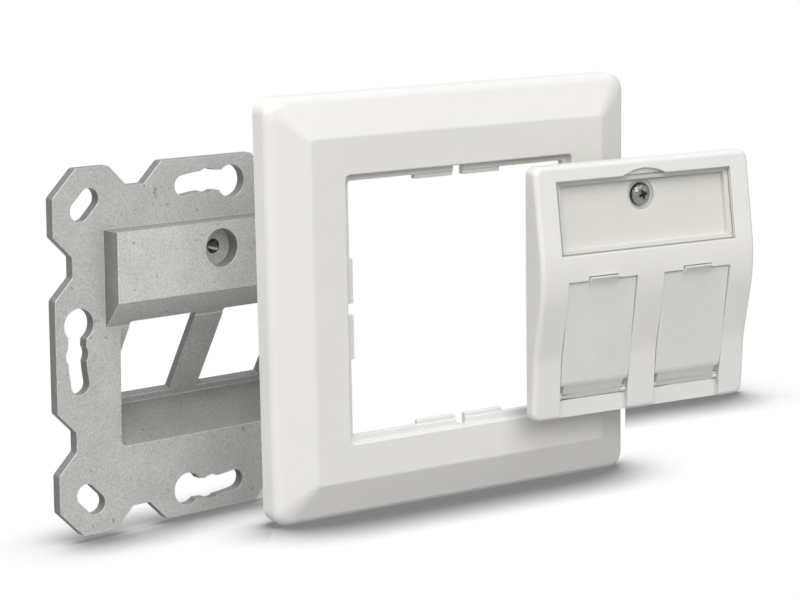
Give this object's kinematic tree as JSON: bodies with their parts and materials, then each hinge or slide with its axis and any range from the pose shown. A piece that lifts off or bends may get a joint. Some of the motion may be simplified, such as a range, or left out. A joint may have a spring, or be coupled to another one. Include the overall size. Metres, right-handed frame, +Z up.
{
  "type": "keystone outlet box",
  "caption": "Square flush wall outlet for keystone jacks, shown apart: cast support frame, bevelled cover frame and sloped centre plate with label window and hinged dust flaps.",
  "frame": {"origin": "middle of the support frame's wall plane, on the axis of its box screws", "axes": "+Z up, the cover frame's front faces -Y, +X to the right seen from the front"},
  "size_m": [0.1339, 0.0611, 0.0835],
  "materials": {
    "cast_zinc": "matt as-cast, slightly grainy",
    "cover_plastic": "satin, warm white",
    "plate_plastic": "satin, warm white",
    "clear_plastic": "clear, glossy",
    "flap_plastic": "satin, warm white",
    "screw_steel": "bright nickel plating"
  },
  "bodies": {
    "base": {"support_frame": "cast_zinc", "cover_frame": "cover_plastic", "centre_plate": "plate_plastic", "label_window": "clear_plastic"},
    "left_flap": {"flap_left": "flap_plastic"},
    "right_flap": {"flap_right": "flap_plastic"},
    "screw": {"fixing_screw": "screw_steel"}
  },
  "joints": [
    {"name": "left_flap_hinge", "type": "hinge", "parent": "base", "child": "left_flap", "pos_m": [0.06336, -0.04043, -0.01255], "axis": [0.9986, -0.0523, 0], "range_deg": [0, 105]},
    {"name": "right_flap_hinge", "type": "hinge", "parent": "base", "child": "right_flap", "pos_m": [0.08513, -0.04157, -0.01255], "axis": [0.9986, -0.0523, 0], "range_deg": [0, 105]},
    {"name": "screw_turn", "type": "hinge", "parent": "base", "child": "screw", "pos_m": [0.07423, -0.0414, 0.0256], "axis": [-0.0523, -0.9986, 0], "continuous": true}
  ]
}
